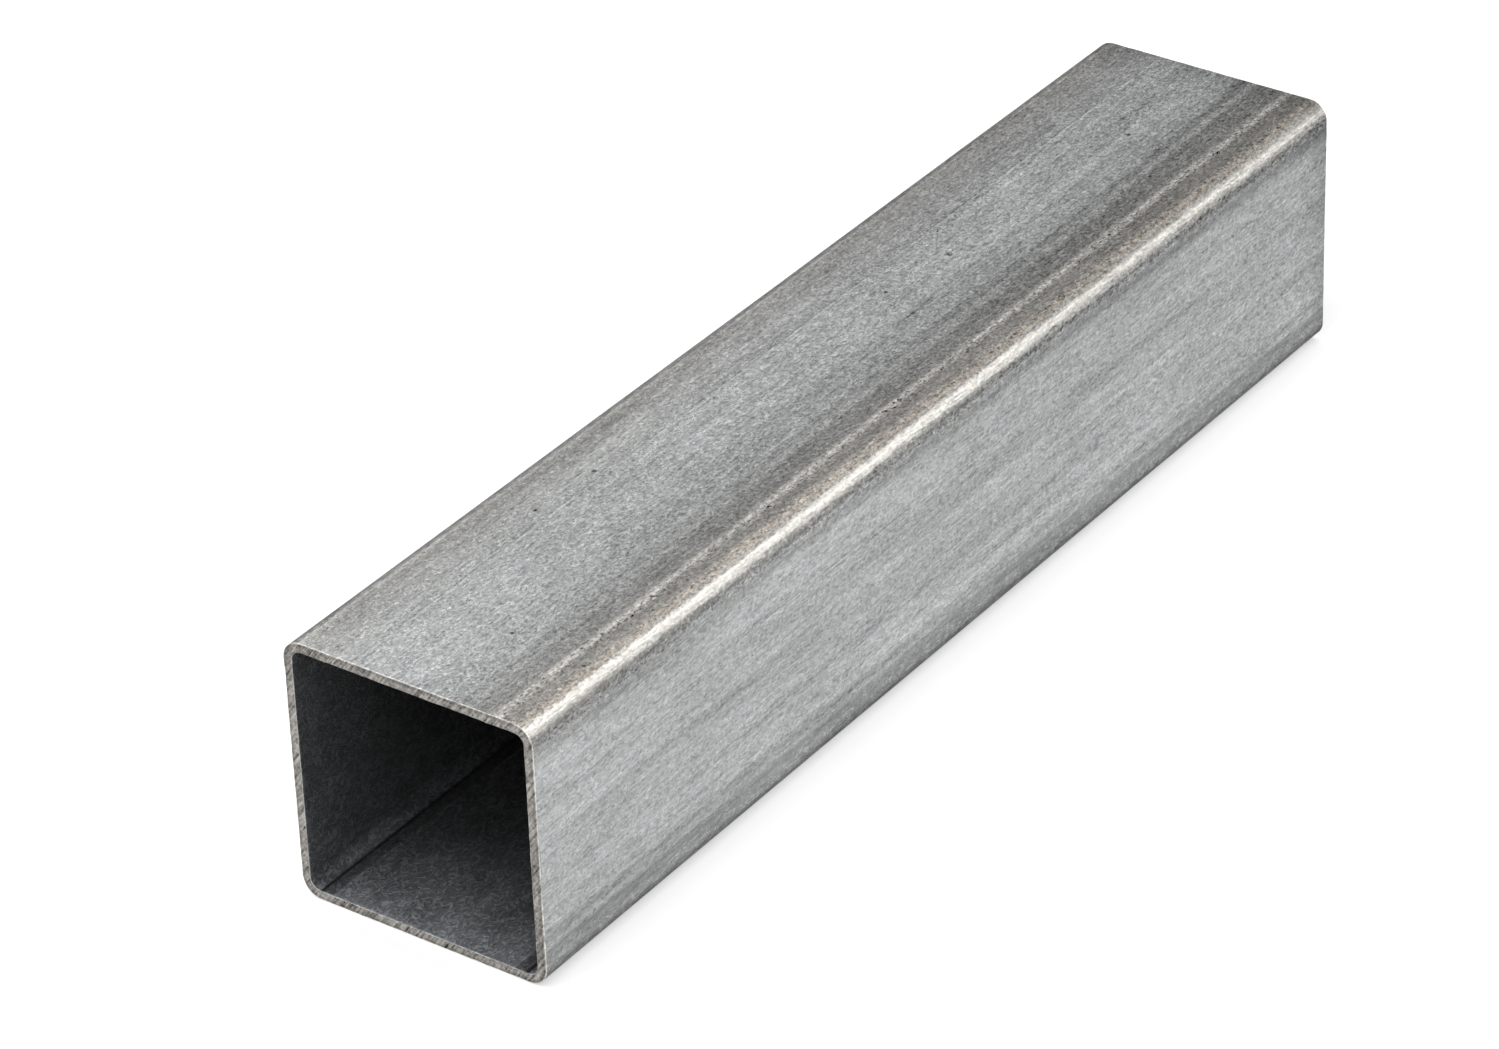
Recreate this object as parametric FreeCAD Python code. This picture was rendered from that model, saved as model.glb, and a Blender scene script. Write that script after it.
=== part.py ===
import FreeCAD, Part
import os

# A short length of cold-formed square steel tube. A flat strip was rolled round until its edges
# met, welded along them, and squared up between rolls, so the wall is as thick round the corners
# as on the flats, and the inner and outer arc of each corner share one centre.
#
# The tube lies on one of its four flats. +X runs along it from saw cut to saw cut, +Z is up, and
# the origin is in the middle of the underside.

# Driving sizes, in millimetres
tube_width = 40.0
wall_thickness = 1.5
inner_bend_radius = 1.5
cut_length = 195.0
outer_rim_rounding = 0.25
bore_rim_rounding = 0.15

# The outside of a bend is one wall further from its centre than the inside.
outer_bend_radius = inner_bend_radius + wall_thickness
bore_width = tube_width - 2 * wall_thickness

along_tube = FreeCAD.Vector(1, 0, 0)
section_middle = FreeCAD.Vector(-cut_length / 2, 0, tube_width / 2)


def rounded_square(width, corner_radius):
    """Outline across the tube at the first saw cut: one flat and one corner arc, four times round."""
    half = width / 2
    arc_centre = half - corner_radius
    arc_crown = arc_centre + corner_radius * 0.5**0.5
    flat_start = FreeCAD.Vector(0, half, -arc_centre)
    flat_end = FreeCAD.Vector(0, half, arc_centre)
    corner_crown = FreeCAD.Vector(0, arc_crown, arc_crown)
    corner_end = FreeCAD.Vector(0, arc_centre, half)
    edges = []
    for quarter_turn in range(4):
        flat = Part.makeLine(flat_start, flat_end)
        corner = Part.Arc(flat_end, corner_crown, corner_end).toShape()
        for edge in (flat, corner):
            edge.rotate(FreeCAD.Vector(), along_tube, 90 * quarter_turn)
            edge.translate(section_middle)
            edges.append(edge)
    return Part.Wire(edges)


def saw_cut_faces(tube):
    """The two flat rings of bare wall that the saw left, square to the tube."""
    return [face for face in tube.Faces if face.normalAt(0, 0).cross(along_tube).Length < 1e-6]


def outer_rims(tube):
    """The edges where the saw cuts meet the skin."""
    return [edge for cut in saw_cut_faces(tube) for edge in cut.OuterWire.Edges]


def bore_rims(tube):
    """The edges where the saw cuts meet the bore."""
    wires = [wire for cut in saw_cut_faces(tube) for wire in cut.Wires if not wire.isSame(cut.OuterWire)]
    return [edge for wire in wires for edge in wire.Edges]


# The wall's section is the ring between the skin and the bore, carried straight along the tube.
skin_outline = rounded_square(tube_width, outer_bend_radius)
bore_outline = rounded_square(bore_width, inner_bend_radius)
wall_section = Part.Face(skin_outline).cut(Part.Face(bore_outline)).Faces[0]
square_tube = wall_section.extrude(along_tube * cut_length)

# The saw leaves sharp rims. A pass of a deburring wheel rounds them over, more on the outside.
square_tube = square_tube.makeFillet(outer_rim_rounding, outer_rims(square_tube))
square_tube = square_tube.makeFillet(bore_rim_rounding, bore_rims(square_tube))

os.makedirs("parts", exist_ok=True)
square_tube.exportStep("parts/square_tube.step")
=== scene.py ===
import bpy
import numpy as np
from mathutils import Matrix, Vector


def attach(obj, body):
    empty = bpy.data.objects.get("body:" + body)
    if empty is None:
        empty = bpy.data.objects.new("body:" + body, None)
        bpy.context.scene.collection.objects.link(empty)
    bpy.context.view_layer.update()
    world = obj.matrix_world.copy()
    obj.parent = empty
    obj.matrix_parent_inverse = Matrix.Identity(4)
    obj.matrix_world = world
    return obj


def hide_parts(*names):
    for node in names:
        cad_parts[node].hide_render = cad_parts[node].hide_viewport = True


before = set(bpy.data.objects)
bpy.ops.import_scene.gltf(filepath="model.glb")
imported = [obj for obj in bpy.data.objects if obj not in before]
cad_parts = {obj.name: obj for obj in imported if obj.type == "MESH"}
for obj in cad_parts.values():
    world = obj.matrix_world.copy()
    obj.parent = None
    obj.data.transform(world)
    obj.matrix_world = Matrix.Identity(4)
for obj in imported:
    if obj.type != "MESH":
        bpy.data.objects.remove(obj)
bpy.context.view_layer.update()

scene = bpy.context.scene
scene.view_settings.view_transform = "Standard"

# Camera
# A long lens looks down along the tube from beyond its near saw cut. Its place and angles were
# fitted to the outline of the tube in the photograph.
camera_place = Vector((-0.585256, -0.412172, 0.457165))
yaw, pitch, roll = np.radians((36.226, -31.840, -2.208))
lens_in_pixels = 6038.1
image_width = 1499.0
sensor_width = 36.0

sight = Vector((np.cos(pitch) * np.cos(yaw), np.cos(pitch) * np.sin(yaw), np.sin(pitch)))
level_right = sight.cross(Vector((0, 0, 1))).normalized()
level_down = sight.cross(level_right)
image_right = np.cos(roll) * level_right - np.sin(roll) * level_down
image_down = np.sin(roll) * level_right + np.cos(roll) * level_down

camera_data = bpy.data.cameras.new("camera")
camera_data.sensor_width = sensor_width
camera_data.lens = lens_in_pixels / image_width * sensor_width
camera_data.clip_start = 0.01
camera = bpy.data.objects.new("camera", camera_data)
turn = Matrix((image_right, -image_down, -sight)).transposed().to_4x4()
camera.matrix_world = Matrix.Translation(camera_place) @ turn
scene.collection.objects.link(camera)
scene.camera = camera

# Floor
# A plain sheet of matt white paper that the tube lies on. Where the camera or a reflection sees
# it, a little light of its own lifts it to white, and the tube's soft shadow stays on it.
floor_reach = 1.3
floor_white = "E6E6E6"
floor_lift = 0.44


def linear(hex_colour):
    """Linear red, green, blue and 1 for an sRGB hex colour: low codes over 12.92, others raised to 2.4."""
    coded = np.array([int(hex_colour[i : i + 2], 16) for i in (0, 2, 4)]) / 255
    return (*np.where(coded <= 0.04045, coded / 12.92, ((coded + 0.055) / 1.055) ** 2.4), 1.0)


def add_node(tree, kind, inputs=(), **settings):
    """Adds a node with its settings. An input, by name or number, takes a value, a node or its output."""
    node = tree.nodes.new(kind)
    for name, value in settings.items():
        setattr(node, name, value)
    for name, value in dict(inputs).items():
        if isinstance(value, bpy.types.Node):
            value = value.outputs[0]
        if isinstance(value, bpy.types.NodeSocket):
            tree.links.new(value, node.inputs[name])
        else:
            node.inputs[name].default_value = value
    return node


def blank_tree(holder):
    """The empty node tree of a material or world."""
    holder.use_nodes = True
    holder.node_tree.nodes.clear()
    return holder.node_tree


def seen_white(tree):
    """Is 1 for a ray from the camera or one that a gloss or a clear piece sends on, and 0 for others."""
    ray = add_node(tree, "ShaderNodeLightPath")
    seen = ray.outputs["Is Camera Ray"]
    for kind in ("Is Glossy Ray", "Is Transmission Ray"):
        seen = add_node(tree, "ShaderNodeMath", {0: seen, 1: ray.outputs[kind]}, operation="MAXIMUM")
    return seen


floor_mesh = bpy.data.meshes.new("floor")
floor_corners = [(-1, -1, 0), (1, -1, 0), (1, 1, 0), (-1, 1, 0)]
floor_mesh.from_pydata((floor_reach * np.array(floor_corners)).tolist(), [], [(0, 1, 2, 3)])
floor = bpy.data.objects.new("floor", floor_mesh)
scene.collection.objects.link(floor)

paper = bpy.data.materials.new("white_matt_paper")
tree = blank_tree(paper)
sheet_place = add_node(tree, "ShaderNodeTexCoord").outputs["Object"]
fibres = add_node(tree, "ShaderNodeTexNoise", {"Vector": sheet_place, "Scale": 900.0, "Detail": 2.0})
dent = add_node(tree, "ShaderNodeBump", {"Height": fibres, "Distance": 0.00002, "Strength": 0.3})
matt = add_node(tree, "ShaderNodeBsdfDiffuse", {"Color": linear(floor_white), "Normal": dent})
own_light = add_node(tree, "ShaderNodeMath", {0: seen_white(tree), 1: floor_lift}, operation="MULTIPLY")
lift = add_node(tree, "ShaderNodeEmission", {"Strength": own_light})
both = add_node(tree, "ShaderNodeAddShader", {0: matt, 1: lift})
add_node(tree, "ShaderNodeOutputMaterial", {"Surface": both})
floor_mesh.materials.append(paper)

# Light
# Soft studio light. An even grey sky lights the tube, and gloss and the camera see it white. One
# soft box stands behind the tube, for the top, a long one at its front right, for the rolled
# corner, and two high beyond the near end, for the front side, the saw cut and the bore's mouth.
sky_grey = "B3B3B3"
soft_boxes = (
    # name, middle of the box, the way it lies, its length and breadth, radiance
    ("back_soft_box", (0.40, 0.36, 0.42), (0.7, -0.7, 0.0), (0.85, 0.60), 0.72),
    ("long_soft_box", (0.48, -0.34, 0.51), (0.29, -0.16, -0.23), (0.80, 0.34), 1.5),
    ("end_soft_box", (-0.30, 0.12, 0.80), (0.0, 1.0, 0.0), (0.45, 0.45), 4.0),
    ("front_soft_box", (-0.60, -0.30, 0.75), (1.0, 0.0, 0.0), (0.70, 0.70), 0.9),
)

world = bpy.data.worlds.new("studio")
scene.world = world
tree = blank_tree(world)
sky = add_node(tree, "ShaderNodeBackground", {"Color": linear(sky_grey)})
backdrop = add_node(tree, "ShaderNodeBackground", {"Color": (1.0, 1.0, 1.0, 1.0)})
either = add_node(tree, "ShaderNodeMixShader", {0: seen_white(tree), 1: sky, 2: backdrop})
add_node(tree, "ShaderNodeOutputWorld", {"Surface": either})

for name, place, lie, (box_length, box_breadth), radiance in soft_boxes:
    lamp = bpy.data.lights.new(name, "AREA")
    lamp.shape = "RECTANGLE"
    lamp.size, lamp.size_y = box_length, box_breadth
    lamp.energy = radiance * np.pi * box_length * box_breadth
    lamp_object = bpy.data.objects.new(name, lamp)
    away = (Vector(place) - Vector((0, 0, 0.02))).normalized()
    breadth_way = away.cross(Vector(lie)).normalized()
    turn = Matrix((breadth_way.cross(away), breadth_way, away)).transposed().to_4x4()
    lamp_object.matrix_world = Matrix.Translation(place) @ turn
    lamp_object.visible_camera = False
    scene.collection.objects.link(lamp_object)

# Square tube
# One length of cold-formed steel tube, in one piece: strip rolled round, welded edge to edge and
# squared up between rolls, then sawn off. Its skin is bare mill finish, grey and faintly mottled.
tube_width = 40.0
wall = 1.5
skin_radius = 3.0
tube_length = 195.0
half_length = tube_length / 2
outer_rim_rounding = 0.25
bore_rim_rounding = 0.15
mm_in_metre = 1000.0

half_flat = tube_width / 2 - skin_radius
corner_arc = skin_radius * np.pi / 2
half_girth = 4 * half_flat + 2 * corner_arc
front_corner = half_flat + corner_arc / 2
low_corner = half_girth - front_corner

# Places round the skin are in mm from the middle of the top, positive over the front corner.
seam_near_end, seam_far_end = 14.64, 13.60
fine_marks = (
    # place round the skin, half width, height in mm, from x, to x, sway in mm
    (-17.3, 0.20, 0.032, -half_length, half_length, 0.0),
    (-16.8, 0.12, -0.010, -half_length, half_length, 0.0),
    (-8.80, 0.13, -0.020, -half_length, half_length, 0.0),
    (-8.45, 0.14, 0.022, -half_length, half_length, 0.0),
    (2.2, 0.17, -0.065, 12.0, 19.5, 0.20),
    (3.1, 0.13, 0.020, 20.0, half_length, 0.0),
    (3.45, 0.12, -0.012, 20.0, half_length, 0.0),
    (30.1, 0.13, 0.014, -half_length, half_length, 0.0),
    (45.0, 0.12, -0.010, -78.0, -35.0, 0.0),
    (52.5, 0.14, 0.010, -half_length, half_length, 0.0),
    (-27.4, 0.12, 0.010, -half_length, half_length, 0.0),
    (-44.3, 0.12, -0.010, -half_length, half_length, 0.0),
)


def graded(start, end, fine_places, plateau, fine, coarse, reach):
    """Places from start to end, a fine step apart near each fine place and a coarse one beyond its reach.

    The inverse of the step is added up along the way, and its total is cut into equal parts."""
    way = np.linspace(start, end, 30001)
    gap = np.abs(way[:, None] - np.array(fine_places)).min(axis=1)
    step = fine + (coarse - fine) * np.clip((gap - plateau) / reach, 0, 1)
    total = np.concatenate([[0.0], np.cumsum(np.diff(way) / step[1:])])
    return np.interp(np.linspace(0.0, total[-1], int(total[-1]) + 2), total, way)


def skin_section(round_place):
    """Point (y, z) of the skin and its outward normal at a place round the tube.

    Half a flat, a corner arc and a flat down one side, then the low arc and half the underside. The
    other side mirrors it."""
    out = np.abs(round_place)
    upper_turn = np.clip((out - half_flat) / skin_radius, 0, np.pi / 2)
    lower_turn = np.clip((out - low_corner + corner_arc / 2) / skin_radius, 0, np.pi / 2)
    turn_angle = upper_turn + lower_turn
    down = np.clip(out - half_flat - corner_arc, 0, 2 * half_flat)
    back_in = np.clip(out - half_girth + half_flat, 0, half_flat)
    side = np.sign(round_place) + (round_place == 0)
    y = np.minimum(out, half_flat) - back_in + skin_radius * np.sin(turn_angle)
    z = tube_width - skin_radius - down + skin_radius * np.cos(turn_angle)
    return -side * y, z, -side * np.sin(turn_angle), np.cos(turn_angle)


def wall_loop():
    """Way once round the wall lengthwise: x, depth under the skin, how far it faces along x and out.

    Along the skin, round the far outer rim, down the far cut, round the bore's rim, back through the
    bore, round its near rim, up the near cut and round the near outer rim."""
    half, rim, bore_rim = half_length, outer_rim_rounding, bore_rim_rounding
    ends = (-half, half)
    skin_x = graded(-half + rim, half - rim, ends, plateau=0.4, fine=0.28, coarse=2.0, reach=9.0)
    bore_x = graded(-half + bore_rim, half - bore_rim, ends, plateau=0.2, fine=0.22, coarse=5.5, reach=60.0)
    cut_depth = np.linspace(rim, wall - bore_rim, 9)
    turn = np.linspace(0, np.pi / 2, 6)[1:-1]
    bore_turn = np.linspace(0, np.pi / 2, 5)[1:-1]
    rim_x, rim_depth = half - rim + rim * np.sin(turn), rim - rim * np.cos(turn)
    mouth_x = half - bore_rim + bore_rim * np.cos(bore_turn)
    mouth_depth = wall - bore_rim + bore_rim * np.sin(bore_turn)
    parts = (
        (skin_x, 0 * skin_x, 0 * skin_x, 0 * skin_x + 1),
        (rim_x, rim_depth, np.sin(turn), np.cos(turn)),
        (0 * cut_depth + half, cut_depth, 0 * cut_depth + 1, 0 * cut_depth),
        (mouth_x, mouth_depth, np.cos(bore_turn), -np.sin(bore_turn)),
        (bore_x[::-1], 0 * bore_x + wall, 0 * bore_x, 0 * bore_x - 1),
        (-mouth_x[::-1], mouth_depth[::-1], -np.cos(bore_turn[::-1]), -np.sin(bore_turn[::-1])),
        (0 * cut_depth - half, cut_depth[::-1], 0 * cut_depth - 1, 0 * cut_depth),
        (-rim_x[::-1], rim_depth[::-1], -np.sin(turn[::-1]), np.cos(turn[::-1])),
    )
    return [np.concatenate(column) for column in zip(*parts)]


def drift(x, y, z, lengths, seed, wave_count=48):
    """Smooth random value, mostly between -1 and 1: cosine waves with random ways and phases, added up.

    Half a wave is about as long as the given lengths in mm along x, y and z. The sum is divided by the
    root of the waves' number, and 0.8 of that is taken."""
    random = np.random.default_rng(seed)
    pull = random.normal(size=(wave_count, 3)) * np.pi / np.array(lengths)
    phase = random.uniform(0, 2 * np.pi, wave_count)
    waves = (np.cos(way[0] * x + way[1] * y + way[2] * z + start) for way, start in zip(pull, phase))
    return sum(waves) / np.sqrt(wave_count) * 0.8


def run(place, start, end, ease):
    """1 between start and end and 0 outside, with a hyperbolic tangent at each edge.

    An edge goes from a tenth to nine tenths over the ease."""
    rise = 0.5 + 0.5 * np.tanh(2.2 * (place - start) / ease)
    fall = 0.5 + 0.5 * np.tanh(2.2 * (end - place) / ease)
    return rise * fall


loop_x, loop_depth, loop_along, loop_out = (column[:, None] for column in wall_loop())
# The grid is finest at the marks, the seam, the corners and the painted light lines of the bore's floor.
floor_line = low_corner + corner_arc / 2 + 2.2
fine_places = [mark[0] for mark in fine_marks] + [seam_far_end, -floor_line, floor_line]
fine_places += [-low_corner, -front_corner, front_corner, low_corner]
round_steps = graded(-half_girth, half_girth, fine_places, plateau=0.45, fine=0.16, coarse=0.55, reach=1.6)
round_place = round_steps[None, :-1]
skin_y, skin_z, normal_y, normal_z = skin_section(round_place)

x = loop_x + 0 * round_place
y = skin_y - normal_y * loop_depth
z = skin_z - normal_z * loop_depth
end_gap = half_length - np.abs(x)
far_share = np.clip(x / tube_length + 0.5, 0, 1)
on_skin = np.clip(loop_out, 0, 1) + 0 * round_place
on_cut = np.abs(loop_along) + 0 * round_place
in_bore = np.clip(-loop_out, 0, 1) + 0 * round_place
outer_rim = np.sqrt(np.clip(2 * on_skin * on_cut, 0, 1))
bore_rim = np.sqrt(np.clip(2 * in_bore * on_cut, 0, 1))
# How far a place is from its corner's middle, positive towards the top or the underside.
from_corner = np.where(
    np.abs(round_place) > half_girth / 2, np.abs(round_place) - low_corner, front_corner - np.abs(round_place)
)

# Relief, in mm out of the skin: the flats roll off a little into the corners, and are slightly
# hollow and uneven from the rolls. The skin is sunk a little, so that no ridge stands past full size.
roll_off_depth = 0.03
hollow_depth = 0.05
sunk = 0.054
weld_height = 0.022
# A mark as high as this, in mm, changes the tone by one unit.
mark_unit = 0.012
roll_off = -roll_off_depth * np.exp(-((from_corner / 4.0) ** 2))
flat_place = np.clip((np.abs(from_corner) - corner_arc / 2) / half_flat, 0, 1)
hollow = -hollow_depth * np.sin(np.pi / 2 * flat_place) ** 2
uneven = 0.020 * drift(x, y, z, (60, 16, 16), 1) + 0.008 * drift(x, y, z, (14, 5, 5), 2) - sunk
# The weld is a low strip with two raised edges, broken and wandering a little along the length.
wander = 0.10 * drift(x, 0, 0, (30, 1, 1), 3) + 0.04 * drift(x, 0, 0, (7, 1, 1), 4)
seam_gap = round_place - (seam_near_end + (seam_far_end - seam_near_end) * far_share) - wander
seam_strip = np.exp(-((seam_gap / 0.50) ** 8))
seam_edges = np.exp(-(((np.abs(seam_gap) - 0.34) / 0.13) ** 2))
seam_break = np.clip(0.7 + 0.5 * drift(x, y * 3, z, (5, 2, 2), 5), 0.15, 1.2)
weld = (0.20 * seam_strip + 0.95 * seam_edges) * seam_break * (1 + 0.3 * far_share)
skin_relief = roll_off + hollow + uneven + weld_height * weld
mark_light = 0 * x
for number, (place, half_width, height, start, end, sway) in enumerate(fine_marks):
    strength = np.clip(0.7 + 0.5 * drift(x, 0, 0, (9, 1, 1), 20 + number), 0.3, 1) * run(x, start, end, 2.0)
    line_gap = round_place - place - sway * np.sin(x / 1.9)
    line = np.exp(-((line_gap / half_width) ** 2)) * strength
    skin_relief = skin_relief + height * line
    mark_light = mark_light + height / mark_unit * line

# The saw leaves ridges across the cuts, and its burr is rubbed down unevenly.
saw_way = 0.80 * y + 0.60 * z + 0.004 * (y**2 + z**2)
saw_ridges = 0.012 * np.cos(2 * np.pi * saw_way / 0.95 + 1.5 * drift(x, y, z, (400, 9, 9), 6))
cut_relief = saw_ridges + 0.010 * drift(x, y, z, (400, 3, 3), 7) - 0.035
burr = drift(x, y, z, (400, 1.1, 1.1), 9)
rim_rag = 0.022 * drift(x, y, z, (400, 2.6, 2.6), 8) + 0.022 * burr - 0.045
rims = np.maximum(outer_rim, bore_rim)
bore_relief = 0.012 * drift(x, y, z, (50, 9, 9), 10)
relief = (on_skin * skin_relief + on_cut * cut_relief) * (1 - rims) + rims * rim_rag + in_bore * bore_relief

points = np.stack(
    [x + loop_along * relief, y + normal_y * loop_out * relief, z + normal_z * loop_out * relief], axis=-1
) / mm_in_metre


def grid_mesh(name, points):
    """Closed mesh of a grid of points.

    Each is joined to the next in its row and column, and the last to the first."""
    rows, columns = points.shape[:2]
    index = np.arange(rows * columns).reshape(rows, columns)
    index = np.concatenate([index, index[:1]])
    index = np.concatenate([index, index[:, :1]], axis=1)
    quads = np.stack([index[:-1, :-1], index[:-1, 1:], index[1:, 1:], index[1:, :-1]], axis=-1)
    mesh = bpy.data.meshes.new(name)
    mesh.from_pydata(points.reshape(-1, 3).tolist(), [], quads.reshape(-1, 4).tolist())
    mesh.shade_smooth()
    return mesh


tube_mesh = grid_mesh("square_tube_skin", points)
tube = bpy.data.objects.new("square_tube_skin", tube_mesh)
scene.collection.objects.link(tube)

# Tone of the finish, as a share of the plain skin's, with painted light and shade in it. The rolls
# leave duller runs beside the corners and next to the weld, a brighter run down the middle, and
# rubbed corners. Part of this is the finish's own tone and part is painted: the top is painted darker
# than the sides, more so towards the far end, and the dull runs beside the front corner and the dark
# band along the low corner are painted reflection and shade. The runs' places were read from the
# photograph. Their strengths come from a least squares fit to its mean tone in strips round the
# section, with a few changed one by one, and are rounded to steps of 0.05.
wavy = round_place + 0.16 * drift(x, y, z, (45, 9, 9), 11) + 0.05 * drift(x, y, z, (9, 2, 2), 12)
# The runs between the top's middle and the weld slant a little, and the ones beside it follow it.
wavy = wavy + 1.3 * x / half_length * run(round_place, 3.0, 12.0, 3.0)
wavy = wavy + (seam_near_end - seam_far_end) * far_share * run(round_place, 12.0, 16.2, 1.5)
tone_and_shade_runs = (
    # from, to, ease, change of tone at the near end and at the far end, warmth
    # The first rows paint the top darker than the other faces, more so towards the far end, as shade.
    (-20.0, 20.4, 1.0, -0.10, -0.30, 0.0),
    (20.4, 60.0, 1.0, 0.25, 0.40, 0.0),
    (60.4, 90.0, 1.0, 0.20, 0.20, 0.0),
    (-90.0, -20.4, 1.0, 0.20, 0.20, 0.0),
    (-18.6, -17.3, 0.4, -0.25, -0.15, 0.2),
    (-17.3, -8.7, 0.3, 0.0, -0.10, 0.1),
    (-17.3, -15.4, 0.8, -0.10, -0.10, 0.2),
    (-14.6, -13.2, 0.8, -0.15, -0.05, 0.05),
    (-8.6, -6.2, 0.5, -0.05, 0.0, 0.0),
    (1.6, 8.0, 1.2, -0.10, -0.10, 0.0),
    (6.9, 8.4, 0.5, -0.20, -0.20, 0.1),
    (8.4, 9.8, 0.5, -0.20, -0.10, 0.15),
    (9.7, 13.85, 0.7, -0.35, -0.30, 0.2),
    (13.4, 14.9, 0.4, 0.0, 0.0, 0.35),
    (14.9, 17.05, 0.5, -0.30, -0.30, 0.45),
    (17.05, 18.35, 0.4, -0.10, -0.10, 0.75),
    (18.2, 20.4, 0.6, 0.0, 0.0, 0.45),
    (20.3, 21.7, 0.4, -0.50, -0.80, 0.2),
    (21.7, 23.6, 1.2, -0.30, -0.70, 0.1),
    (23.0, 25.4, 1.4, 0.10, -0.30, 0.0),
    (24.5, 37.0, 3.0, 0.05, -0.30, 0.0),
    (36.0, 47.0, 3.0, 0.0, -0.20, 0.0),
    (50.6, 51.6, 0.3, -0.30, -0.25, 0.05),
    (51.5, 53.0, 0.4, -0.10, -0.20, 0.05),
    (52.9, 54.1, 0.5, -0.40, -0.45, 0.05),
    (54.0, 55.8, 0.5, -0.30, -0.40, 0.08),
    (55.8, 61.5, 0.6, -0.60, -0.75, 0.08),
)
tone_and_painted_light = 1.0 + 0 * x
warmth = 0 * x
for start, end, ease, near_change, far_change, warm in tone_and_shade_runs:
    there = run(wavy, start, end, ease)
    tone_and_painted_light = tone_and_painted_light + (near_change + (far_change - near_change) * far_share) * there
    warmth = warmth + warm * there
smears = (
    # place round the skin, half width, change of tone, from x, to x
    (-15.9, 0.9, -0.12, -half_length, -20.0),
    (-12.3, 0.8, 0.05, -40.0, 20.0),
    (-7.0, 0.7, 0.12, -60.0, 60.0),
    (29.7, 0.2, -0.14, -60.0, half_length),
    (34.0, 0.4, -0.12, 30.0, 60.0),
    (37.2, 0.9, -0.18, -half_length, -35.0),
    (37.4, 0.9, 0.14, -22.0, 22.0),
    (39.5, 0.7, -0.16, -half_length, -15.0),
    (39.4, 0.6, 0.12, 18.0, 62.0),
    (42.1, 0.2, -0.14, 60.0, 88.0),
    (43.2, 0.7, 0.10, -60.0, -22.0),
    (45.4, 0.25, -0.14, -75.0, -40.0),
    (47.9, 0.8, -0.10, -half_length, -60.0),
    (48.0, 0.8, 0.08, -20.0, 20.0),
    (48.2, 0.9, -0.14, 60.0, half_length),
)
for place, half_width, change, start, end in smears:
    tone_and_painted_light = tone_and_painted_light + change * np.exp(-(((wavy - place) / half_width) ** 4)) * run(x, start, end, 12.0)
# The back and the underside aren't seen in the photograph, and have runs of the same kind: painted
# shade beside the corners, as on the front.
beside_corner = run(np.abs(from_corner), 1.3, 3.6, 0.8) * ((round_place < -18.5) | (round_place > 58.5))
tone_and_painted_light = tone_and_painted_light - 0.28 * beside_corner
warmth = warmth + 0.3 * beside_corner
tone_and_painted_light = tone_and_painted_light * (1 + 0.035 * drift(x, y, z, (34, 7, 7), 13) + 0.02 * drift(x, y, z, (12, 2.5, 2.5), 14))
# The skin is darker over its last few mm at the far end.
tone_and_painted_light = tone_and_painted_light * (1 - 0.22 * np.exp(-(((half_length - x) / 4.0) ** 2)))
# Painted light: the top is lighter towards the near end.
on_top = run(round_place, -18.0, 16.0, 2.0)
tone_and_painted_light = tone_and_painted_light * (1 + 0.10 * on_top * np.exp(-(((half_length + x) / 30.0) ** 2)))

# The corners are rubbed smoother and painted bright, partly as rubbed metal and partly as a painted
# highlight. The front one's painted highlight wavers, and it lies a little further round, and is
# fainter, towards the far end.
front_share = np.abs(round_place - front_corner) < 4
rub_and_highlight_strength = np.where(front_share, np.interp(far_share, (0.1, 0.5, 0.9), (0.84, 0.84, 0.68)), 0.50)
rub_and_highlight_gap = from_corner + (wavy - round_place) * front_share
painted_highlight_shift = np.interp(far_share, (0.1, 0.5, 0.9), (-0.05, 0.18, 0.72)) * front_share
squeeze = 0.14 * (1 - far_share) ** 2 * front_share
rub_and_highlight = rub_and_highlight_strength * run(rub_and_highlight_gap + painted_highlight_shift, -0.95 + squeeze, 0.80 - squeeze, 0.55)
rub_and_highlight = rub_and_highlight * np.where((round_place < 0) | (round_place > 40), 0.8, 1.0)
drawn = np.maximum(run(np.abs(wavy), 23.0, 54.0, 2.0), run(from_corner, -1.3, 1.3, 0.5))
# The grain is strong towards the far end, on the weld and beside the front corner, and weak where
# the skin is drawn or rubbed.
coarse = (1 - 0.33 * drawn) * (1 + 0.30 * far_share + 0.25 * run(round_place, 4.0, 13.0, 3.0))
coarse = coarse + 2.0 * weld * on_skin
for start, end, ease, change in ((20.4, 22.4, 0.6, 0.75), (14.9, 18.2, 0.6, 0.1), (17.2, 18.8, 0.5, 0.9)):
    coarse = coarse + change * run(wavy, start, end, ease)
coarse = coarse * (1 - 0.5 * np.clip(rub_and_highlight, 0, 1))
coarse = coarse * (1 - 0.6 * run(wavy, 52.8, 61.5, 0.6)) * (1 - 0.12 * run(wavy, -17.0, -9.0, 1.0))

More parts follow.
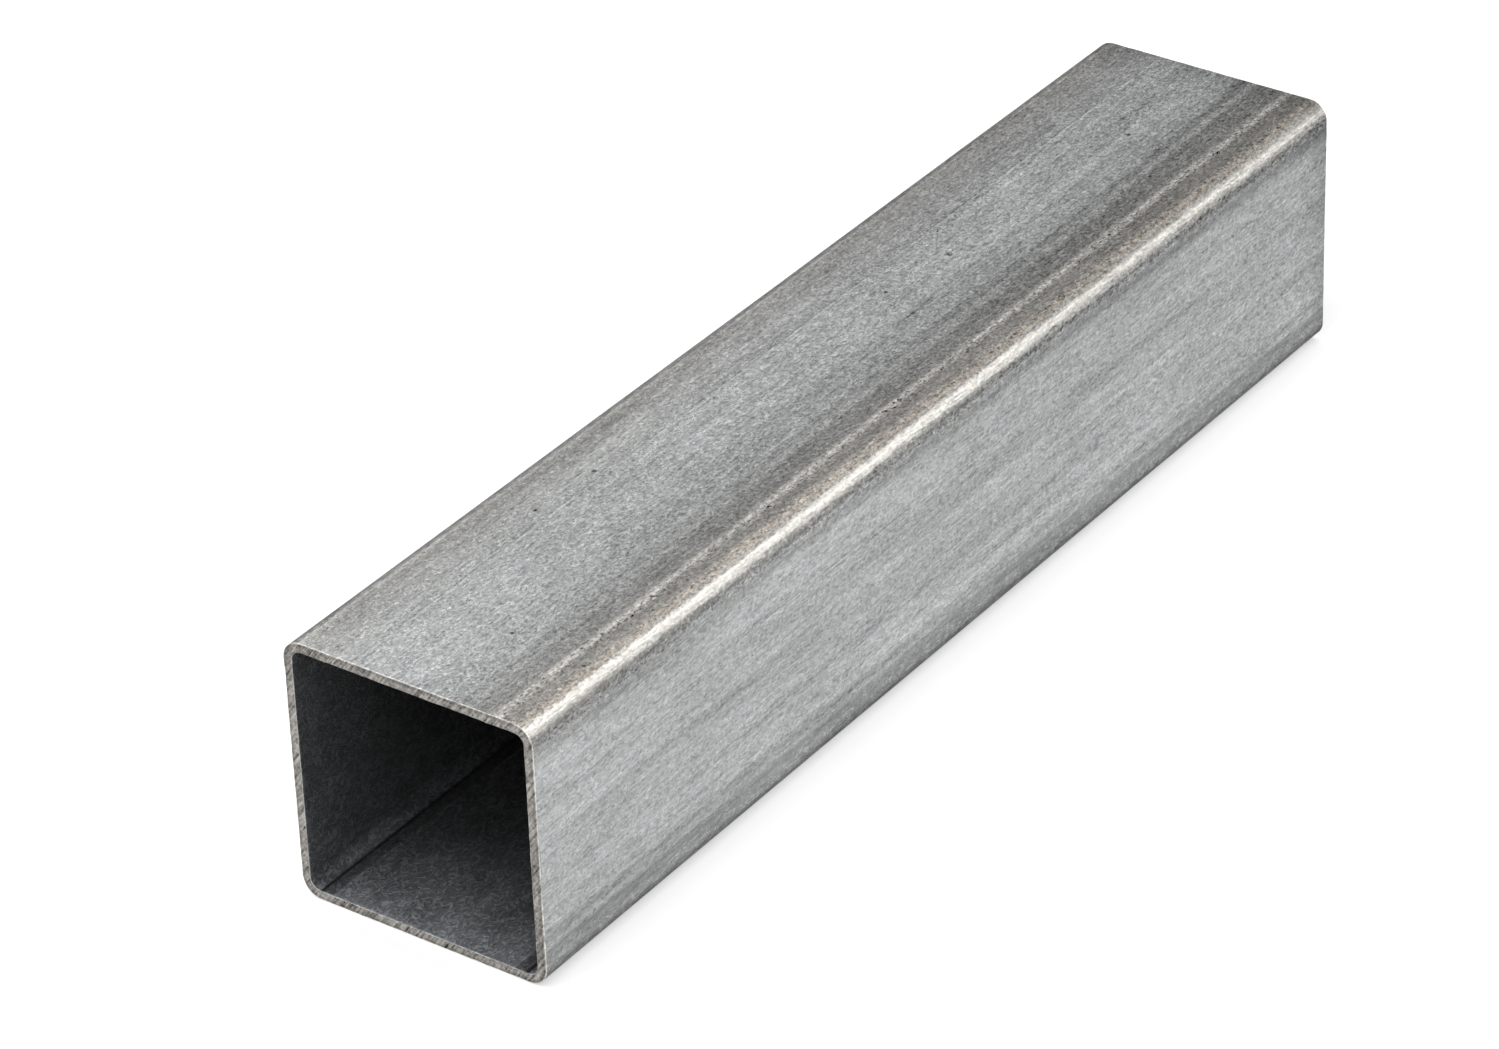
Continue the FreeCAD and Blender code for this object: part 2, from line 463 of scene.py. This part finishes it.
# In the bore, each corner's round is painted a little lighter, as a painted highlight. A dark line of
# painted shade lies in the crease at its foot, and a darker strip beside that, which a broken painted
# highlight line ends, stronger well inside. On the round's other side a line is dark near the mouths
# and a painted highlight further in. The bore is painted darker well inside, as shade, and its floor
# and lower walls are painted lighter, most of all the floor at the mouths, as painted light.
no_end = 200.0
bore_gap = np.sign(from_corner) * (
    np.minimum(np.abs(from_corner), corner_arc / 2) / 2 + np.maximum(np.abs(from_corner) - corner_arc / 2, 0)
)
bore_break = np.clip(0.5 + 0.8 * drift(x, y, z, (12, 3, 3), 15), 0, 1)
deep = run(end_gap, 22.0, no_end, 14.0)
bore_light_and_shade = (
    1.0
    + 0.35 * run(bore_gap, -1.6, 1.05, 0.25)
    - 0.80 * np.exp(-(((bore_gap - 1.32) / 0.20) ** 2))
    - 0.38 * run(bore_gap, 1.2, 3.3, 0.2)
    + (0.50 + 1.3 * deep) * bore_break * np.exp(-(((bore_gap - 3.45) / 0.16) ** 2))
    + (1.2 * deep - 0.25) * np.exp(-(((bore_gap + 1.75) / 0.20) ** 2))
    - 0.10 * run(bore_gap, 3.3, 9.0, 4.0)
)
# Painted shade further in, and painted light on the floor and the lower walls.
bore_light_and_shade = bore_light_and_shade * np.exp(-end_gap / 40) * (1 + 0.9 * run(np.abs(round_place), 50.0, no_end, 12.0))
# Painted light on the floor near the mouths.
for start, end in ((62.5, no_end), (-no_end, -62.5)):
    bore_light_and_shade = bore_light_and_shade * (1 + 0.6 * run(round_place, start, end, 1.0) * np.exp(-end_gap / 7))
tone_and_painted_light = tone_and_painted_light * (1 - in_bore) + bore_light_and_shade * in_bore
# The cut is darker in a line just inside its outer rim. The rims carry a bright burr and a painted
# highlight, which is brightest along the front side's inner edge.
cut_tone = 1.04 - 0.30 * np.exp(-(((loop_depth - 0.36) / 0.22) ** 2))
tone_and_painted_light = tone_and_painted_light * (1 - on_cut) + cut_tone * on_cut
bore_burr_and_highlight = (0.9 + 2.2 * run(round_place, 20.0, 57.0, 2.0)) * in_bore * on_cut
rim_wear_and_highlight = np.clip(0.80 + 0.55 * burr, 0, 1.4) * np.maximum(2.6 * on_skin**2 * on_cut, bore_burr_and_highlight)

point_values = {
    "tone_and_painted_light": tone_and_painted_light,
    "warmth": np.clip(warmth, 0, 1),
    "rub_and_highlight": rub_and_highlight * on_skin,
    "rim": rim_wear_and_highlight,
    "weld": weld * on_skin,
    "mark": mark_light * on_skin,
    "drawn": drawn,
    "coarse": coarse,
}
for name, values in point_values.items():
    layer = tube_mesh.attributes.new(name, "FLOAT", "POINT")
    layer.data.foreach_set("value", (values + 0 * x).astype(np.float32).ravel())

# A face takes the finish that most of it faces as: a little more than the cosine of 45 degrees.
mostly = 0.72
face_on_cut = np.abs(loop_along[:, 0]) > mostly
face_in_bore = loop_out[:, 0] < -mostly
kind = np.where(face_in_bore, 2, np.where(face_on_cut, 1, 0))
tube_mesh.polygons.foreach_set("material_index", np.repeat(kind, x.shape[1]).astype(np.int32))

# Skin: bare cold-rolled steel, mill finish. It is grained like fine orange peel on top, with curled
# light flecks, drawn into short lengthwise streaks on the sides, and brownish at the rolled corner.
plain_grey = "A8AAAA"
warm_grey = "AFA79D"
# What it turns to where it is seen along the skin.
edge_grey = "8C8C8C"
brightest = 2.4
skin = bpy.data.materials.new("mill_finish_steel_cold_rolled")
tree = blank_tree(skin)
place = add_node(tree, "ShaderNodeTexCoord").outputs["Object"]
of_point = {}
for name in point_values:
    of_point[name] = add_node(tree, "ShaderNodeAttribute", attribute_name=name).outputs["Fac"]

pattern = {}
for name, stretch, size, detail, swirl in (
    # name, times as long as broad, size in mm, detail, swirl. The real grain goes on finer than
    # peel, dash and hair, which are drawn as coarse as they need to show.
    ("peel", 1.6, 0.40, 3.0, 0.6),
    ("dash", 1.8, 0.36, 3.0, 0.1),
    ("curl", 1.6, 0.50, 1.0, 1.0),
    ("hair", 60.0, 0.34, 2.0, 0.0),
    ("streak", 11.0, 0.34, 2.0, 0.0),
    ("broad", 60.0, 1.6, 2.0, 0.0),
    ("cloud", 2.5, 4.5, 3.0, 0.0),
    ("smudge", 9.0, 1.3, 4.0, 0.0),
    ("spot", 1.6, 1.1, 2.0, 0.0),
):
    in_mm = (mm_in_metre / stretch, mm_in_metre, mm_in_metre)
    spread = add_node(tree, "ShaderNodeMapping", {"Vector": place, "Scale": in_mm})
    pattern[name] = add_node(
        tree,
        "ShaderNodeTexNoise",
        {"Vector": spread, "Scale": 1 / size, "Detail": detail, "Roughness": 0.6, "Distortion": swirl},
    )

grain = add_node(tree, "ShaderNodeMix", {0: of_point["drawn"], 2: pattern["peel"], 3: pattern["dash"]})
grain = add_node(tree, "ShaderNodeMath", {0: grain, 1: 0.5}, operation="SUBTRACT")
grain = add_node(tree, "ShaderNodeMath", {0: grain, 1: of_point["coarse"]}, operation="MULTIPLY")
curl = add_node(tree, "ShaderNodeMath", {0: pattern["curl"], 1: 0.5}, operation="SUBTRACT")
curl = add_node(tree, "ShaderNodeMath", {0: curl}, operation="ABSOLUTE")
curl = add_node(
    tree,
    "ShaderNodeMapRange",
    {"Value": curl, "From Min": 0.0, "From Max": 0.10, "To Min": 1.0, "To Max": 0.0},
)
curl_break = add_node(
    tree, "ShaderNodeMapRange", {"Value": pattern["spot"], "From Min": 0.38, "From Max": 0.56}
)
curl = add_node(tree, "ShaderNodeMath", {0: curl, 1: curl_break}, operation="MULTIPLY")
curl_share = add_node(
    tree, "ShaderNodeMath", {0: of_point["drawn"], 1: -0.5, 2: 1.0}, operation="MULTIPLY_ADD"
)
curl = add_node(tree, "ShaderNodeMath", {0: curl, 1: curl_share}, operation="MULTIPLY")
smudge = add_node(
    tree, "ShaderNodeMapRange", {"Value": pattern["smudge"], "From Min": 0.56, "From Max": 0.74}
)
spot = add_node(tree, "ShaderNodeMapRange", {"Value": pattern["spot"], "From Min": 0.72, "From Max": 0.80})
weld_spot = add_node(
    tree, "ShaderNodeMapRange", {"Value": pattern["curl"], "From Min": 0.58, "From Max": 0.68}
)
weld_spot = add_node(tree, "ShaderNodeMath", {0: weld_spot, 1: of_point["weld"]}, operation="MULTIPLY")
weld_spot = add_node(tree, "ShaderNodeMath", {0: weld_spot, 1: 2.1}, operation="MULTIPLY")
spot = add_node(tree, "ShaderNodeMath", {0: spot, 1: weld_spot}, operation="MAXIMUM")
fleck = add_node(tree, "ShaderNodeMapRange", {"Value": pattern["spot"], "From Min": 0.27, "From Max": 0.22})
# Small pits, darker than the grain round them, in the top and along the weld.
pits = (
    # x, y, half width in mm
    (-43.2, 10.2, 0.48),
    (30.8, 2.5, 0.62),
    (74.1, -0.1, 0.54),
    (-80.8, -4.4, 0.34),
    (-55.3, 10.9, 0.40),
    (-19.1, 7.5, 0.52),
    (17.2, 4.0, 0.38),
    (-82.1, -16.7, 0.28),
    (-66.8, -16.6, 0.28),
    (-75.0, -14.5, 0.46),
    (-64.2, -14.6, 0.44),
    (-9.6, -14.2, 0.46),
    (-6.3, -14.0, 0.42),
    (21.5, -14.6, 0.44),
)
# The height of the skin where the pits are.
pit_level = tube_width - 0.06
for pit_x, pit_y, half_width in pits:
    middle = (pit_x / mm_in_metre, pit_y / mm_in_metre, pit_level / mm_in_metre)
    reach = half_width / mm_in_metre
    gap = add_node(tree, "ShaderNodeVectorMath", {0: place, 1: middle}, operation="DISTANCE").outputs["Value"]
    pit = add_node(
        tree,
        "ShaderNodeMapRange",
        {"Value": gap, "From Min": reach, "From Max": reach / 2, "To Max": 1.5},
    )
    spot = add_node(tree, "ShaderNodeMath", {0: spot, 1: pit}, operation="MAXIMUM")

height = 0.0
for part, weight in ((grain, 0.7), (pattern["streak"], 0.25), (curl, 0.36), (spot, -0.3)):
    height = add_node(tree, "ShaderNodeMath", {0: part, 1: weight, 2: height}, operation="MULTIPLY_ADD")
bump_share = add_node(tree, "ShaderNodeMath", {0: of_point["rub_and_highlight"], 1: -0.5, 2: 1.0}, operation="MULTIPLY_ADD")
bump = add_node(tree, "ShaderNodeBump", {"Height": height, "Distance": 0.00024, "Strength": bump_share})

shade_parts = (
    # part, its middle value, how much it changes the tone
    (grain, 0.0, 1.75),
    (curl, 0.20, 0.68),
    (pattern["hair"], 0.5, 0.35),
    (pattern["streak"], 0.5, 0.50),
    (pattern["broad"], 0.5, 0.45),
    (pattern["cloud"], 0.5, 0.30),
    (smudge, 0.15, -0.16),
    (spot, 0.0, -0.45),
    (fleck, 0.0, 0.30),
    (of_point["weld"], 0.0, 0.29),
    (of_point["mark"], 0.0, 0.16),
)
shade = 1.0 - sum(middle * weight for _, middle, weight in shade_parts)
for part, _, weight in shade_parts:
    shade = add_node(tree, "ShaderNodeMath", {0: part, 1: weight, 2: shade}, operation="MULTIPLY_ADD")
shade = add_node(tree, "ShaderNodeMath", {0: shade, 1: of_point["tone_and_painted_light"]}, operation="MULTIPLY")
# The rubbed corners add a brightness, partly rubbed metal and partly a painted highlight, that the
# grain and the streaks make ragged. The rims add a painted highlight, partly a bright burr.
ragged = 0.0
for part, weight in ((grain, 2.4), (pattern["streak"], 1.3)):
    ragged = add_node(tree, "ShaderNodeMath", {0: part, 1: weight, 2: ragged}, operation="MULTIPLY_ADD")
for part, weight in ((of_point["rub_and_highlight"], ragged), (of_point["rim"], 1.1)):
    shade = add_node(tree, "ShaderNodeMath", {0: part, 1: weight, 2: shade}, operation="MULTIPLY_ADD")
shade = add_node(tree, "ShaderNodeMath", {0: shade, 1: brightest}, operation="MINIMUM")
plain_or_warm = add_node(
    tree,
    "ShaderNodeMix",
    {0: of_point["warmth"], 6: linear(plain_grey), 7: linear(warm_grey)},
    data_type="RGBA",
).outputs[2]
colour = add_node(tree, "ShaderNodeVectorMath", {0: plain_or_warm, "Scale": shade}, operation="SCALE")
roughness = add_node(
    tree, "ShaderNodeMath", {0: pattern["cloud"], 1: 0.12, 2: 0.36}, operation="MULTIPLY_ADD"
)
roughness = add_node(
    tree, "ShaderNodeMath", {0: of_point["rub_and_highlight"], 1: -0.12, 2: roughness}, operation="MULTIPLY_ADD"
)
surface = add_node(
    tree,
    "ShaderNodeBsdfPrincipled",
    {
        "Base Color": colour,
        "Metallic": 1.0,
        "Roughness": roughness,
        "Specular Tint": linear(edge_grey),
        "Normal": bump,
    },
)
add_node(tree, "ShaderNodeOutputMaterial", {"Surface": surface})
tube_mesh.materials.append(skin)

# Saw cut: bare steel, cold sawn. Dull warm grey, with fine slanting ridges and a bright burr, which
# is partly a painted highlight along the rims.
sawn_grey = "9E9A95"
cut = bpy.data.materials.new("cold_sawn_steel")
tree = blank_tree(cut)
place = add_node(tree, "ShaderNodeTexCoord").outputs["Object"]
tone_and_painted_light = add_node(tree, "ShaderNodeAttribute", attribute_name="tone_and_painted_light").outputs["Fac"]
rim = add_node(tree, "ShaderNodeAttribute", attribute_name="rim").outputs["Fac"]
slant = add_node(
    tree,
    "ShaderNodeMapping",
    {"Vector": place, "Rotation": (-0.95, 0.0, 0.0), "Scale": (0.001, 0.0032, 0.00028)},
    vector_type="TEXTURE",
)
teeth = add_node(tree, "ShaderNodeTexNoise", {"Vector": slant, "Scale": 1.0, "Detail": 2.0})
fleck = add_node(tree, "ShaderNodeTexNoise", {"Vector": place, "Scale": mm_in_metre / 0.4, "Detail": 3.0})
stain = add_node(tree, "ShaderNodeTexNoise", {"Vector": place, "Scale": mm_in_metre / 3.5, "Detail": 3.0})
height = add_node(tree, "ShaderNodeMath", {0: teeth, 1: 1.2, 2: fleck}, operation="MULTIPLY_ADD")
bump = add_node(tree, "ShaderNodeBump", {"Height": height, "Distance": 0.00010})
shade = -1.50
for part, weight in ((teeth, 2.3), (fleck, 1.6), (stain, 0.6)):
    shade = add_node(tree, "ShaderNodeMath", {0: part, 1: weight, 2: shade}, operation="MULTIPLY_ADD")
shade = add_node(tree, "ShaderNodeMath", {0: shade, 1: tone_and_painted_light}, operation="MULTIPLY")
# The rims' bright burr and painted highlight.
shade = add_node(tree, "ShaderNodeMath", {0: rim, 1: 0.8, 2: shade}, operation="MULTIPLY_ADD")
colour = add_node(
    tree, "ShaderNodeVectorMath", {0: linear(sawn_grey)[:3], "Scale": shade}, operation="SCALE"
)
roughness = add_node(tree, "ShaderNodeMath", {0: fleck, 1: 0.2, 2: 0.36}, operation="MULTIPLY_ADD")
surface = add_node(
    tree,
    "ShaderNodeBsdfPrincipled",
    {"Base Color": colour, "Metallic": 1.0, "Roughness": roughness, "Normal": bump},
)
add_node(tree, "ShaderNodeOutputMaterial", {"Surface": surface})
tube_mesh.materials.append(cut)

# Bore: the strip's other side, never rubbed. Dark blue-grey oxide as rolled, dull, with fine curled
# flecks. Its tone carries painted shade and highlights along the corners, painted shade further in
# and painted light on the floor, and its rims a painted highlight.
oxide_grey = "505254"
bore = bpy.data.materials.new("dark_oxide_steel_as_rolled")
tree = blank_tree(bore)
place = add_node(tree, "ShaderNodeTexCoord").outputs["Object"]
tone_and_painted_light = add_node(tree, "ShaderNodeAttribute", attribute_name="tone_and_painted_light").outputs["Fac"]
rim = add_node(tree, "ShaderNodeAttribute", attribute_name="rim").outputs["Fac"]
in_mm = (mm_in_metre / 1.6, mm_in_metre, mm_in_metre)
spread = add_node(tree, "ShaderNodeMapping", {"Vector": place, "Scale": in_mm})
speck = add_node(tree, "ShaderNodeTexNoise", {"Vector": spread, "Scale": 1 / 0.5, "Detail": 3.0})
curl = add_node(
    tree, "ShaderNodeTexNoise", {"Vector": spread, "Scale": 1 / 1.1, "Detail": 1.5, "Distortion": 1.2}
)
curl = add_node(tree, "ShaderNodeMath", {0: curl, 1: 0.5}, operation="SUBTRACT")
curl = add_node(tree, "ShaderNodeMath", {0: curl}, operation="ABSOLUTE")
curl = add_node(
    tree,
    "ShaderNodeMapRange",
    {"Value": curl, "From Min": 0.0, "From Max": 0.07, "To Min": 1.0, "To Max": 0.0},
)
patch = add_node(tree, "ShaderNodeTexNoise", {"Vector": spread, "Scale": 1 / 5.0, "Detail": 3.0})
height = add_node(tree, "ShaderNodeMath", {0: curl, 1: 0.40, 2: speck}, operation="MULTIPLY_ADD")
bump = add_node(tree, "ShaderNodeBump", {"Height": height, "Distance": 0.00022})
shade = -0.35
for part, weight in ((speck, 1.10), (curl, 0.75), (patch, 0.90)):
    shade = add_node(tree, "ShaderNodeMath", {0: part, 1: weight, 2: shade}, operation="MULTIPLY_ADD")
shade = add_node(tree, "ShaderNodeMath", {0: shade, 1: tone_and_painted_light}, operation="MULTIPLY")
# The rims' bright burr and painted highlight.
shade = add_node(tree, "ShaderNodeMath", {0: rim, 1: 4.0, 2: shade}, operation="MULTIPLY_ADD")
colour = add_node(
    tree, "ShaderNodeVectorMath", {0: linear(oxide_grey)[:3], "Scale": shade}, operation="SCALE"
)
roughness = add_node(tree, "ShaderNodeMath", {0: speck, 1: 0.2, 2: 0.42}, operation="MULTIPLY_ADD")
surface = add_node(
    tree, "ShaderNodeBsdfPrincipled", {"Base Color": colour, "Roughness": roughness, "Normal": bump}
)
add_node(tree, "ShaderNodeOutputMaterial", {"Surface": surface})
tube_mesh.materials.append(bore)

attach(tube, "root")
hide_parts("square_tube")
